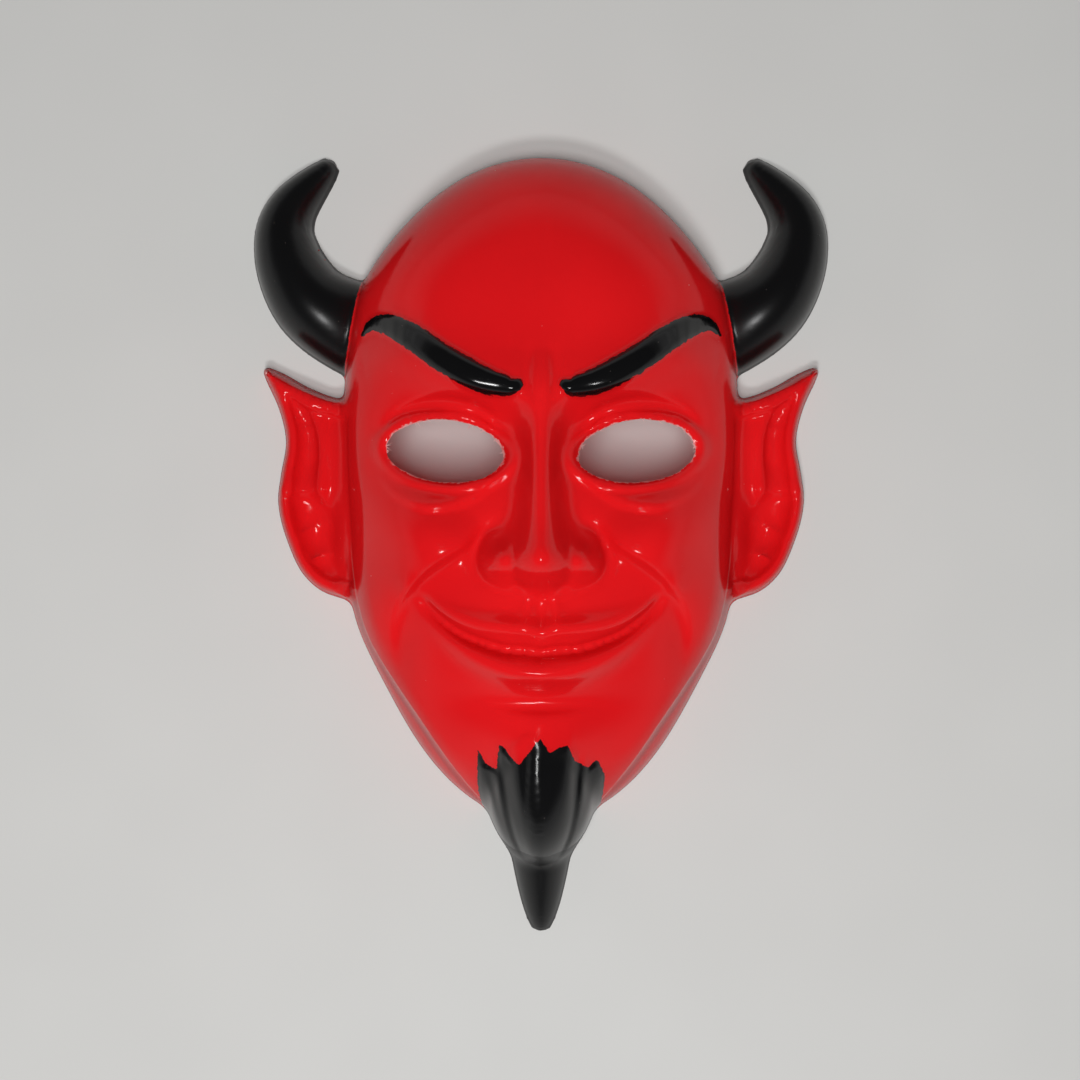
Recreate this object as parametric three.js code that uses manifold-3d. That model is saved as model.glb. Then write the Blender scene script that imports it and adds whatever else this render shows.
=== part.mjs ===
// Devil mask: one thin sheet of red plastic, formed over a mould and trimmed along its back.
// The head, horns, ears and goatee are all the same sheet, hollow behind and open at the back.
// Millimetres. +X runs across the face, +Y up the face and +Z out of it; the trimmed rim is z = 0.
import * as THREE from 'three';
import { mergeVertices } from 'three/addons/utils/BufferGeometryUtils.js';
import Module from 'manifold-3d';

// Driving dimensions
const WALL = 1.2;             // thickness of the sheet
const SKIRT = 8;              // how far each form runs on below the trim plane before it is cut
const UNDER = 2;              // how far below that plane a form's sides are already upright
const SHORTEST = 0.03;        // edges shorter than this are closed up
const HEAD_HALF = 76;         // half the head's width, at its widest level
// Levels where the head is wider still. Rows: y, reach up and down, share of the width.
const FULLER = [[-28, 24, 0.06], [98, 22, 0.045]];
const LEVEL = 45;             // y of the widest level
const DOME = 104;             // from the widest level up to the top of the dome
const JAW = 152;              // from the widest level down to the chin
const DEPTH = 62;             // height of the plain shell over the rim
const FLATNESS = 1.4;         // how flat the front stays before it rolls over to the sides
const SHIELD = 2.15;          // 2 would make the outline an ellipse above and below the level
const FRONT = 0.93;           // share of the outline that counts as the front of the face
const EYE = { x: 35, y: 34, half: 21.5, high: 11.3, turn: 0.1 };
const LID = { height: 2.8, at: 1.13, width: 0.14 };     // at and width are shares of the hole's size
const HORN = {
  root: 20.2,                 // half its width where it starts
  high: 30,                   // its height, before it sinks towards the head
  sunk: 0.5,                  // share of its length over which it sinks
  full: 0.6,                  // 1 would make it a straight cone
  tip: 0.07,                  // share of its width that is left at its end
  path: [[52, 79], [72, 84], [89, 94.5], [98.4, 112.5], [97, 129], [80, 149]],
};
const EAR = {
  rim: 13,                    // height of the ear's outer edge over the trim plane
  round: 4,                   // radius of that edge
  edge: 3.5,                  // width of the edge, and of the slope inside it
  slope: 5,
  dip: 6,                     // how far the ear is hollowed inside its edge
  lift: 9,                    // how far it rises where it meets the head
  liftFrom: 82,
  liftOver: 12,
  spine: [[80, 50], [80, -4]],
  path: [[60, 56.5], [77, 56], [89, 59.8], [99.5, 65.5], [106.6, 68.2], [106.4, 64.8], [101, 52.5],
    [98.4, 40], [100.4, 27], [101.4, 16], [98.4, 3], [91.5, -11.5], [80, -19.3], [62, -19], [56, 20]],
};
const TUFT = {
  y: -66,                     // its widest level
  above: 8,                   // from there up and down to its ends
  below: 58,
  half: 24.8,
  high: 54,
  lock: 1.1,                  // width of a lock, as a share of half the tuft's width
  groove: 1.7,                // depth of the grooves between the locks
  shift: 0.02,                // how far the locks are off the middle
  fadeIn: 0.35,               // share of the tuft, at its edge, over which the grooves start
  roundAbove: 2.4,            // 2 would make its outline an ellipse
  roundBelow: 2.4,
  flatness: 1.25,             // 1 would make it a plain ellipsoid
};
const TAIL = {
  from: -96,
  to: -150,
  half: 14.4,
  high: 27,
  full: [0.5, 0.55],          // across and high; 1 would make it a straight cone
  ridge: 1.25,                // 1 would make its sections round; above that they are ridged
};

// Mesh divisions: across, along and down the sides
const HEAD_GRID = [30, 38, 3];
const HORN_GRID = [8, 11, 1];
const EAR_GRID = [8, 10, 1];
const TUFT_GRID = [18, 7, 1];
const TAIL_GRID = [6, 7, 1];
const CROWD = 0.3;            // how closely the head's and the tuft's columns crowd together
const ALONG = 1.6;            // how closely a horn's rows crowd together towards its end
const SAMPLES = 6;            // points a curve has for each row of numbers

// Ridges (height above 0) and grooves (below 0) of the face, for the side where x is positive.
// Rows: x, y, height, width on the left of the run, width on its right.
const BROW = [[8.5, 57, 2.2, 2.2, 2], [12, 56.2, 3.2, 4, 3.2], [22, 59, 3.4, 5.2, 4.4],
  [35, 66.5, 3.4, 5.2, 4.6], [47, 75.2, 3, 4.8, 4.4], [56, 80.6, 2.6, 4, 3.7],
  [62.5, 81.6, 1.6, 2.7, 2.5], [67, 78.5, 0.3, 0.6, 0.6]];
const STROKES = {
  browBone: [[0, 58, 3, 12, 8], [14, 55, 5.5, 12, 7], [32, 60, 6.5, 13, 7], [50, 69, 5, 12, 8],
    [66, 66, 0, 9, 8]],
  lidFold: [[13, 40, 0, 1.4, 2.2], [21, 49, -2.2, 1.5, 3], [36, 52.5, -2.6, 1.6, 3.4],
    [52, 48.5, -1.8, 1.6, 3], [61, 39, 0, 1.6, 2.4]],
  eyeBag: [[15, 25, 0, 5, 1.6], [26, 17, 2.6, 6, 1.5], [40, 14, 3, 7, 1.6], [53, 19.5, 1.8, 6, 1.8],
    [61, 30, 0, 5, 2.2]],
  noseTipGroove: [[8, 2, 0, 2.4, 2.4], [10.6, -3.5, -1.5, 2.4, 2.4], [10, -10.5, -1.5, 2.2, 2.2],
    [7.5, -15, 0, 1.8, 1.8]],
  wingGroove: [[12, 9, 0, 2.4, 2], [20.5, 4.5, -2, 2.8, 2], [23.6, -4, -2.6, 3, 2],
    [21.6, -11.5, -2, 2.6, 2], [15.5, -15.5, -1.2, 2.2, 2], [9, -16.5, 0, 2, 2]],
  smileFold: [[21, 7, 0, 9, 2.2], [30, -0.5, 4, 12, 2.4], [41.5, -8, 5.8, 13, 2.6],
    [51, -18, 5.2, 12, 2.8], [56, -31, 3, 10, 3], [55, -47, 0, 8, 3]],
  upperLip: [[0, -31, 3.4, 4.2, 3], [6, -29.8, 4.4, 3.8, 3.2], [13, -29.2, 4.6, 3.8, 3.4],
    [24, -27.6, 3.8, 3.8, 3.2], [35, -23.4, 2, 3.2, 2.6], [42, -18.5, 0, 2, 2]],
  lowerLip: [[0, -46.4, 6, 5, 4.4], [12, -45, 5.6, 5, 4.2], [25, -39.6, 4, 4.4, 3.6],
    [35.5, -31, 1.6, 3, 2.8], [42, -22.5, 0, 2, 2]],
  mouthLine: [[0, -38.6, -4.8, 2, 2.2], [6, -37.6, -4.8, 2, 2.2], [14, -37, -4.8, 2, 2.2],
    [28, -32.4, -4.6, 2, 2.2], [38, -25.2, -3.8, 2, 2.2], [45.5, -16.5, 0, 1.8, 2]],
  chinFold: [[0, -62, 1.3, 1.6, 4], [12, -61, 1.1, 1.6, 4], [22, -57.5, 0, 1.6, 4]],
  sideEdge: [[66, 90, 0, 1.8, 9], [71, 68, 2.2, 1.8, 9], [72.5, 45, 2.6, 1.8, 10],
    [72.4, 20, 3.4, 1.8, 11], [71.6, -6, 5, 1.7, 12], [66.9, -29, 6.6, 1.7, 13],
    [59.8, -43.6, 6.8, 1.7, 13], [45.5, -63.9, 6.4, 1.7, 12], [33.6, -82, 5, 1.7, 9],
    [22.3, -97.7, 0, 1.6, 6]],
  frown: [[2.2, 50, 0, 1.4, 1.6], [4.4, 56, -1.8, 1.5, 2.4], [4.8, 63, -1.8, 1.5, 2.6],
    [3.4, 73, 0, 1.6, 2.4]],
};
// Soft swellings and hollows. Rows: x, y, half width, half height, height, turn in radians.
const MOUNDS = {
  socket: [34, 36, 25, 17, -9.5, 0],
  innerSocket: [16, 40, 8, 13, -5.5, 0],
  noseWing: [15, -5.2, 6.4, 7.4, 9.2, 0.45],
  nostril: [7.4, -14.6, 3, 1.6, -2, 0.25],
  cheek: [47, 6, 19, 14, 8.5, 0.25],
  mouthCorner: [47.5, -15.5, 4, 5.5, 1.6, -0.6],
  lipColumn: [5.2, -23, 2.6, 6, 1.3, 0.12],
  underCheek: [55, -38, 10, 20, -3.5, 0.3],
  temple: [62, 74, 15, 24, -3.5, 0],
  forehead: [24, 104, 26, 22, 2, 0],
};
const MIDDLE_MOUNDS = {
  noseBall: [0, -4.5, 9.5, 7.5, 2.6, 0],
  mouth: [0, -37, 36, 24, 8.5, 0],
  underLip: [0, -56, 22, 6, -3.6, 0],
  lipGroove: [0, -22.5, 2.8, 6.5, -1.6, 0],
  chin: [0, -73, 20, 12, 8, 0],
};
// The nose's ridge line from its base up to the brow. Rows: y, height, half width.
const NOSE = [[-24, 0, 7], [-19, 1.4, 8], [-15.5, 6.5, 9.4], [-12, 14.6, 10.6], [-8.5, 20.4, 11.4],
  [-4, 23, 11.2], [3, 21.8, 9.4], [14, 18, 7.4], [30, 12.8, 6.3], [46, 7.5, 7.2], [58, 3, 8.8],
  [70, 0, 10]];
const EAR_STROKES = {
  innerStep: [[103, 61.5, 0, 1.8, 3], [98, 58.6, 2, 2, 4], [91.5, 54.8, 4, 2.2, 6],
    [87.1, 49.5, 5.2, 2.2, 8], [84.6, 42, 5.6, 2.2, 9], [84, 34, 5.6, 2.2, 9], [84.6, 25, 5, 2.2, 9],
    [83.6, 19, 4, 2.4, 9], [79, 12, 1.5, 3, 8], [76, 5, 0, 3, 6]],
  crossFold: [[101, 22.5, 0, 2, 7], [97, 20.6, 2.2, 2, 7], [91, 20.8, 2.6, 2, 7], [86, 20, 2, 2, 6],
    [82, 17.5, 0, 2, 5]],
};
const EAR_MOUNDS = [[88, 4, 8, 11, -2.5, 0.3], [76, 3, 5, 15, 2.5, 0]];

const { abs, cos, sin, sqrt, hypot, exp, sign, PI, min, max } = Math;
const clamp = THREE.MathUtils.clamp;
const ease = (t) => THREE.MathUtils.smoothstep(t, 0, 1);

// Curves drawn through rows of numbers
function spline(rows, steps) {
  const mirrored = (a, b) => a.map((value, k) => 2 * value - b[k]);
  const all = [mirrored(rows[0], rows[1]), ...rows, mirrored(rows.at(-1), rows.at(-2))];
  const out = [];
  for (let i = 1; i < all.length - 2; i++) {
    const [a, b, c, d] = all.slice(i - 1, i + 3);
    for (let step = 0; step < steps; step++) {
      const t = step / steps;
      out.push(b.map((_, k) => 0.5 * (2 * b[k] + (c[k] - a[k]) * t
        + (2 * a[k] - 5 * b[k] + 4 * c[k] - d[k]) * t * t + (3 * b[k] - a[k] - 3 * c[k] + d[k]) * t ** 3)));
    }
  }
  out.push(rows.at(-1));
  return out;
}

function nearestOn(path, x, y) {
  let best = { distance: Infinity };
  for (let i = 0; i + 1 < path.length; i++) {
    const [a, b] = [path[i], path[i + 1]];
    const [ex, ey] = [b[0] - a[0], b[1] - a[1]];
    const t = clamp(((x - a[0]) * ex + (y - a[1]) * ey) / max(ex * ex + ey * ey, 1e-9), 0, 1);
    const [dx, dy] = [x - a[0] - t * ex, y - a[1] - t * ey];
    const distance = hypot(dx, dy);
    if (distance < best.distance) best = { distance, left: ex * dy - ey * dx > 0, i, t };
  }
  return best;
}

function stroke(path, x, y, power = 2) {
  const { distance, left, i, t } = nearestOn(path, x, y);
  const row = path[i].map((value, k) => value + t * (path[i + 1][k] - value));
  const [, , height, leftWidth, rightWidth] = row;
  return height * exp(-((distance / max(left ? leftWidth : rightWidth, 0.05)) ** power));
}

function mound([cx, cy, rx, ry, height, turn], x, y) {
  const [dx, dy] = [x - cx, y - cy];
  const u = (cos(turn) * dx + sin(turn) * dy) / rx;
  const v = (cos(turn) * dy - sin(turn) * dx) / ry;
  return height * exp(-u * u - v * v);
}

function between(rows, y, column) {
  if (y <= rows[0][0]) return rows[0][column];
  const k = rows.findIndex((row) => row[0] > y);
  if (k < 0) return rows.at(-1)[column];
  const t = (y - rows[k - 1][0]) / (rows[k][0] - rows[k - 1][0]);
  return rows[k - 1][column] + t * (rows[k][column] - rows[k - 1][column]);
}

// The carved face: what it adds to the plain shell's height
const FACE_STROKES = Object.values(STROKES).map((rows) => spline(rows, SAMPLES));
const BROW_PATH = spline(BROW, SAMPLES);
const BROW_EDGE = 5;          // how steep the sides of a brow are
const NOSE_EDGE = 2.2;        // how steep the sides of the nose are

function relief(x, y) {
  const side = abs(x);
  let z = stroke(BROW_PATH, side, y, BROW_EDGE);
  for (const path of FACE_STROKES) z += stroke(path, side, y);
  for (const row of Object.values(MOUNDS)) z += mound(row, side, y);
  for (const row of Object.values(MIDDLE_MOUNDS)) z += mound(row, x, y);
  const eyeX = (cos(EYE.turn) * (side - EYE.x) + sin(EYE.turn) * (y - EYE.y)) / EYE.half;
  const eyeY = (cos(EYE.turn) * (y - EYE.y) - sin(EYE.turn) * (side - EYE.x)) / EYE.high;
  z += LID.height * exp(-(((hypot(eyeX, eyeY) - LID.at) / LID.width) ** 2));
  z += between(NOSE, y, 1) * exp(-((side / between(NOSE, y, 2)) ** NOSE_EDGE));
  return z;
}

// How far up (or down) the head a level is: -1 at the chin, 1 at the top of the dome
const CHANGE = 40;            // how gradually the jaw's curve turns into the dome's

function share(y) {
  const up = y - LEVEL;
  return up / (JAW + (DOME - JAW) * (1 + Math.tanh(up / CHANGE)) / 2);
}

function levelOf(target) {
  let [low, high] = [LEVEL - JAW - 1, LEVEL + DOME + 1];
  for (let halving = 0; halving < 40; halving++) {
    const middle = (low + high) / 2;
    if (share(middle) < target) low = middle;
    else high = middle;
  }
  return (low + high) / 2;
}

function headHalf(y) {
  const wider = ([level, reach, share]) => share * exp(-(((y - level) / reach) ** 2));
  return HEAD_HALF * FULLER.reduce((total, row) => total + wider(row), 1);
}

const girth = (x, y) => (x / headHalf(y)) ** 2 + abs(share(y)) ** SHIELD;

// Every form is a box whose top face is laid over the form and whose sides drop below the trim plane.
// place(u, v, w) gives the point for box coordinates from -1 to 1.
function form([across, along, down], place) {
  const box = new THREE.BoxGeometry(2, 2, 2, across, along, down);
  box.deleteAttribute('normal');
  box.deleteAttribute('uv');
  const geometry = mergeVertices(box, 1e-5);
  const points = geometry.getAttribute('position');
  mirrorDiagonals(geometry, points);
  for (let i = 0; i < points.count; i++) {
    points.setXYZ(i, ...place(points.getX(i), points.getY(i), points.getZ(i)));
  }
  return geometry;
}

// The box's squares are all halved the same way. This turns the halves of those on its right,
// so that both sides of the face are mirror images.
function mirrorDiagonals(geometry, points) {
  const index = geometry.getIndex();
  for (let i = 0; i < index.count; i += 6) {
    const [a, b, d, , c] = index.array.slice(i, i + 6);
    if (points.getX(a) + points.getX(b) + points.getX(c) + points.getX(d) > 0) {
      index.array.set([a, b, c, a, c, d], i);
    }
  }
}

function inset(geometry, depth) {
  const inner = geometry.clone();
  inner.computeVertexNormals();
  const [points, normals] = [inner.getAttribute('position'), inner.getAttribute('normal')];
  for (let i = 0; i < points.count; i++) {
    points.setXYZ(i, points.getX(i) - depth * normals.getX(i), points.getY(i) - depth * normals.getY(i),
      points.getZ(i) - depth * normals.getZ(i));
  }
  inner.deleteAttribute('normal');
  return inner;
}

// Head. Its rows follow the brows and the smile, so that those ridges run along the mesh.
const BROW_RISE = { y: 57, from: 17, over: 42, rise: 25, above: 38, below: 16 };
const SMILE_RISE = { y: -38, side: 39, rise: 15.4, end: 46, above: 26, below: 16 };

function bend(x, y) {
  const side = abs(x);
  const fade = (row) => exp(-(((y - row.y) / (y > row.y ? row.above : row.below)) ** 2));
  const brow = BROW_RISE.rise * clamp((side - BROW_RISE.from) / BROW_RISE.over, 0, 1);
  const smile = SMILE_RISE.rise * (min(side, SMILE_RISE.end) / SMILE_RISE.side) ** 2;
  return brow * fade(BROW_RISE) + smile * fade(SMILE_RISE);
}

// Levels of the head's rows: closer together where the face has its brows and its mouth
const ROW_SPACING = { face: 4.6, ends: 5, middle: 10, from: 60, over: 45 };
const CLOSER = [{ y: -38, over: 13, by: 1.9 }, { y: 58, over: 8, by: 1.6 }];

function rowLevels(count) {
  const spacing = (y) => ROW_SPACING.face
    + ROW_SPACING.ends * ease((abs(y - ROW_SPACING.middle) - ROW_SPACING.from) / ROW_SPACING.over)
    - CLOSER.reduce((total, row) => total + row.by * exp(-(((y - row.y) / row.over) ** 2)), 0);
  const [low, high] = [levelOf(-FRONT), levelOf(FRONT)];
  const steps = 400;
  const counted = [0];
  for (let k = 0; k < steps; k++) {
    counted.push(counted.at(-1) + 1 / spacing(low + (high - low) * (k + 0.5) / steps));
  }
  const rows = counted.map((value, k) => [count * value / counted.at(-1), low + (high - low) * k / steps]);
  return Array.from({ length: count + 1 }, (_, row) => between(rows, row, 1));
}

const BEND_ENDS = 0.25;       // share of the front, at its edge, over which the bend fades away
const RELIEF_ENDS = [1.02, 0.25];     // the same for the relief, down the sides

function headForm() {
  const [, rows, downs] = HEAD_GRID;
  const levels = rowLevels(rows);
  const start = Math.asin(FRONT ** FLATNESS);
  return form(HEAD_GRID, (u, v, w) => {
    const down = Math.round((1 - w) / 2 * downs);
    const acrossFace = (1 - CROWD) * u + CROWD * u ** 3;
    const upFace = share(levels[Math.round((v + 1) / 2 * rows)]) / FRONT;
    const discX = acrossFace * sqrt(1 - upFace * upFace / 2);
    const discY = upFace * sqrt(1 - acrossFace * acrossFace / 2);
    const roll = min(start + (PI / 2 - start) * down / (downs - 1), PI / 2);
    const spread = sin(roll) ** (1 / FLATNESS);
    let y = levelOf(sign(discY) * (spread * abs(discY)) ** (2 / SHIELD));
    const x = headHalf(y) * spread * discX;
    if (down === 0) y += bend(x, y) * (1 - ease((hypot(discX, discY) - 1 + BEND_ENDS) / BEND_ENDS));
    if (down === downs) return [x, y, -SKIRT];
    if (down === downs - 1) return [x, y, -UNDER];
    const plain = DEPTH * sqrt(max(1 - girth(x, y) ** FLATNESS, 0));
    return [x, y, plain + relief(x, y) * ease((RELIEF_ENDS[0] - girth(x, y)) / RELIEF_ENDS[1])];
  });
}

// Half-round forms swept along a path: the horns and the goatee's point
const LOOK = 0.12;            // share of the path, each way, that a section's direction is taken over
const HORN_END = 0.93;        // share of a horn's length that is hollow
const TAIL_END = 0.9;         // the same for the goatee's point
const THIN = 0.3;             // half the width that is left at a form's end

function swept(grid, path, half, high, ridge, last = 1) {
  const lengths = [0];
  for (let i = 1; i < path.length; i++) {
    lengths.push(lengths.at(-1) + hypot(path[i][0] - path[i - 1][0], path[i][1] - path[i - 1][1]));
  }
  const rows = path.map((point, i) => [lengths[i] / lengths.at(-1), ...point]);
  return form(grid, (u, v, w) => {
    const s = (1 - (1 - (v + 1) / 2) ** ALONG) * last;
    const [x, y] = [between(rows, s, 1), between(rows, s, 2)];
    const [aheadX, aheadY] = [between(rows, s + LOOK, 1), between(rows, s + LOOK, 2)];
    const [backX, backY] = [between(rows, s - LOOK, 1), between(rows, s - LOOK, 2)];
    const step = hypot(aheadX - backX, aheadY - backY);
    const angle = (1 - u) / 2 * PI;
    const out = half(s) * sign(cos(angle)) * abs(cos(angle)) ** ridge;
    return [x + (aheadY - backY) / step * out, y - (aheadX - backX) / step * out,
      w > 0 ? high(s) * sin(angle) - (abs(u) === 1 ? UNDER : 0) : -SKIRT];
  });
}

function hornForm(depth) {
  const taper = (s) => (1 - HORN.tip) * max(1 - s, 0) ** HORN.full + HORN.tip;
  const sunk = (s) => 1 - max(1 - s / HORN.sunk, 0) ** 2;
  return swept(HORN_GRID, spline(HORN.path, 10), (s) => max(HORN.root * taper(s) - depth, THIN),
    (s) => max(HORN.high * taper(s) * sunk(s) - depth, THIN), 1, depth > 0 ? HORN_END : 1);
}

function tailForm(depth) {
  return swept(TAIL_GRID, [[0, TAIL.from], [0, TAIL.to]],
    (s) => max(TAIL.half * (1 - s) ** TAIL.full[0] + THIN - depth, THIN),
    (s) => max(TAIL.high * (1 - s) ** TAIL.full[1] + THIN - depth, THIN),
    TAIL.ridge, depth > 0 ? TAIL_END : 1);
}

// Tuft of the goatee: locks gathered towards the point
function tuftForm() {
  return form(TUFT_GRID, (u, v, w) => {
    const up = (1 - CROWD) * v + CROWD * sin(v * PI / 2);
    const acrossTuft = (1 - CROWD) * u + CROWD * sin(u * PI / 2);
    const gather = sqrt(max(1 - abs(up) ** (up > 0 ? TUFT.roundAbove : TUFT.roundBelow), 0.05));
    const x = TUFT.half * gather * acrossTuft;
    const y = TUFT.y + up * (up > 0 ? TUFT.above : TUFT.below);
    const inside = gather * gather * (1 - acrossTuft * acrossTuft);
    const dome = sqrt(max(1 - (1 - inside) ** TUFT.flatness, 0));
    const lock = cos(2 * PI * (acrossTuft + TUFT.shift) / TUFT.lock) * ease(inside / TUFT.fadeIn);
    const top = max(abs(u), abs(v)) === 1 ? -UNDER : TUFT.high * dome + TUFT.groove * lock;
    return [x, y, w > 0 ? top : -SKIRT];
  });
}

// Ears: a rolled rim, a hollow inside it, a step up towards the head and a fold over the lobe
const EAR_OUTLINE = spline([...EAR.path, EAR.path[0]], SAMPLES);
const EAR_FOLDS = Object.values(EAR_STROKES).map((rows) => spline(rows, SAMPLES));
const EAR_START = 21;         // where on the outline the mesh's rings start
const EAR_STEEP = 1.25;       // how much wider the sheet is, seen from the front, at the ear's steep edge
const EAR_TIP = 4;            // and how much wider again at its pointed tip

function earHeight(x, y) {
  const inside = nearestOn(EAR_OUTLINE, x, y).distance;
  let height = EAR.rim;
  for (const path of EAR_FOLDS) height += stroke(path, x, y);
  height -= EAR.dip * ease((inside - EAR.edge) / EAR.slope);
  height += EAR.lift * ease((EAR.liftFrom - x) / EAR.liftOver);
  for (const row of EAR_MOUNDS) height += mound(row, x, y);
  return height * sqrt(max(1 - (max(EAR.round - inside, 0) / EAR.round) ** 2, 0));
}

function earForm(depth) {
  const [head, foot] = EAR.spine;
  const count = EAR_OUTLINE.length - 1;
  return form(EAR_GRID, (u, v, w) => {
    const ring = max(abs(u), abs(v));
    const turn = (Math.atan2(v, u) / (2 * PI) + 1) % 1;
    const at = ((1 - turn) * count + EAR_START) % count;
    const [a, b] = [EAR_OUTLINE[Math.floor(at)], EAR_OUTLINE[Math.ceil(at) % count]];
    const t = at - Math.floor(at);
    const [edgeX, edgeY] = [a[0] + t * (b[0] - a[0]), a[1] + t * (b[1] - a[1])];
    const spineY = clamp(edgeY, foot[1], head[1]);
    const reach = hypot(edgeX - foot[0], edgeY - spineY);
    const edge = 1 - depth * (EAR_STEEP + EAR_TIP * ease((edgeY - EAR.path[1][1]) / EAR.round / 2)) / reach;
    const out = ring === 1 ? edge : min(ring ** 0.8, edge - 0.04);
    const [x, y] = [foot[0] + (edgeX - foot[0]) * out, spineY + (edgeY - spineY) * out];
    const top = ring === 1 ? -UNDER : max(earHeight(x, y) - depth, THIN);
    return [x, y, w > 0 ? top : -SKIRT];
  });
}

// Cutting and joining
const wasm = await Module();
wasm.setup();

function solid(geometry, mirrored = false) {
  const merged = mergeVertices(geometry, 1e-5);
  const vertProperties = new Float32Array(merged.getAttribute('position').array);
  const triVerts = new Uint32Array(merged.getIndex().array);
  if (mirrored) {
    for (let i = 0; i < vertProperties.length; i += 3) vertProperties[i] *= -1;
    for (let i = 0; i < triVerts.length; i += 3) {
      [triVerts[i], triVerts[i + 1]] = [triVerts[i + 1], triVerts[i]];
    }
  }
  return new wasm.Manifold(new wasm.Mesh({ numProp: 3, vertProperties, triVerts }));
}

function pair(geometry) {
  return [solid(geometry), solid(geometry, true)];
}

function joined(solids) {
  return solids.reduce((total, next) => total.add(next));
}

function eyeCutter() {
  const shape = new THREE.Shape();
  shape.absellipse(EYE.x, EYE.y, EYE.half, EYE.high, 0, 2 * PI, false, EYE.turn);
  const shaft = { depth: 2 * DEPTH, bevelEnabled: false, curveSegments: 32 };
  const cutter = new THREE.ExtrudeGeometry(shape, shaft);
  cutter.deleteAttribute('normal');
  cutter.deleteAttribute('uv');
  return cutter;
}

function belowTrim() {
  const size = 4 * JAW;
  const slab = new THREE.BoxGeometry(size, size, 2 * SKIRT).translate(0, 0, -SKIRT);
  slab.deleteAttribute('normal');
  slab.deleteAttribute('uv');
  return slab;
}

function maskShell() {
  const [head, tuft] = [headForm(), tuftForm()];
  const outside = joined([solid(head), ...pair(hornForm(0)), ...pair(earForm(0)), solid(tuft),
    solid(tailForm(0))]);
  const inside = joined([solid(inset(head, WALL)), ...pair(hornForm(WALL)), ...pair(earForm(WALL)),
    solid(inset(tuft, WALL)), solid(tailForm(WALL))]);
  const sheet = outside.subtract(inside).subtract(solid(belowTrim()));
  return pair(eyeCutter()).reduce((total, eye) => total.subtract(eye), sheet);
}

// Joins leave some edges of almost no length, whose ends become one corner here.
function welded({ vertProperties, triVerts }) {
  const same = Array.from({ length: vertProperties.length / 3 }, (_, i) => i);
  const root = (i) => (same[i] === i ? i : root(same[i]));
  const corner = (i) => new THREE.Vector3().fromArray(vertProperties, 3 * i);
  const triangles = [];
  for (let i = 0; i < triVerts.length; i += 3) triangles.push([...triVerts.slice(i, i + 3)]);
  for (const [a, b, c] of triangles) {
    for (const [from, to] of [[a, b], [b, c], [c, a]]) {
      if (corner(from).distanceTo(corner(to)) < SHORTEST) same[root(to)] = root(from);
    }
  }
  const kept = triangles.map((ring) => ring.map(root)).filter(([a, b, c]) => a !== b && b !== c && c !== a);
  const geometry = new THREE.BufferGeometry();
  geometry.setAttribute('position', new THREE.BufferAttribute(vertProperties, 3));
  geometry.setIndex(kept.flat());
  geometry.computeVertexNormals();
  return geometry;
}

const geometry = welded(maskShell().getMesh());

const redPlastic = new THREE.MeshStandardMaterial({ color: 0xc81e23, roughness: 0.25, metalness: 0 });
const mask = new THREE.Mesh(geometry, redPlastic);
mask.name = 'mask_shell';

const group = new THREE.Group();
group.add(mask);
export default group;
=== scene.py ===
"""Plastic devil mask, dressed for a photograph from straight above.

The mask is one thin sheet of gloss red plastic, formed over a mould, trimmed along its back and painted
black on the horns, brows and goatee. Its form is worked out in millimetres from the sizes below: +X across
the face, +Y up the face, +Z out of it, with the trimmed rim at z = 0. Finished pieces are in metres, in the
packed model's frame.
"""
from math import cos, pi, radians, sin, tau

import bmesh
import bpy
import numpy as np
from bmesh import ops
from bpy.props import FloatProperty, FloatVectorProperty, PointerProperty
from mathutils import Matrix, Vector


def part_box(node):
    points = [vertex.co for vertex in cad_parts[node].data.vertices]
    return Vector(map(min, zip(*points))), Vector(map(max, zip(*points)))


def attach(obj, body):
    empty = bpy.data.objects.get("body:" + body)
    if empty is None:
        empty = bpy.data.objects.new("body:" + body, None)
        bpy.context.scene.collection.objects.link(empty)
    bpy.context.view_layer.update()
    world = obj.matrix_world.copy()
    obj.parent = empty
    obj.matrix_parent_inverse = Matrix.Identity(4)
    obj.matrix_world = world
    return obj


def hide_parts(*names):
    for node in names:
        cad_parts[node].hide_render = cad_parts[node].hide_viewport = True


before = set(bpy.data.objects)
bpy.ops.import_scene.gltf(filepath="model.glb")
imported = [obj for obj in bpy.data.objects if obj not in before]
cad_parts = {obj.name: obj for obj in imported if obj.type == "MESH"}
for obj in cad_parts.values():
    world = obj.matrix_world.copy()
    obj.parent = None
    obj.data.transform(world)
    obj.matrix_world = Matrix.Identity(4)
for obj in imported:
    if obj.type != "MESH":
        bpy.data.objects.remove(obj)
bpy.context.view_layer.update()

bl_info = {
    "name": "Formed devil mask",
    "version": (1, 0, 0),
    "blender": (4, 5, 0),
    "location": "3D View > Sidebar > Mask",
    "description": "Forms, trims and paints a thin plastic devil mask and lays it on a pale table",
    "category": "Object",
}

MM = 0.001  # a millimetre, in metres
SHELL = "mask_shell"  # the packed node that the formed sheet stands for
BOX_LOW, BOX_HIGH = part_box(SHELL)



class Sizes:
    """Sizes of one form, each with a name."""

    def __init__(self, **sizes):
        vars(self).update(sizes)


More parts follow.
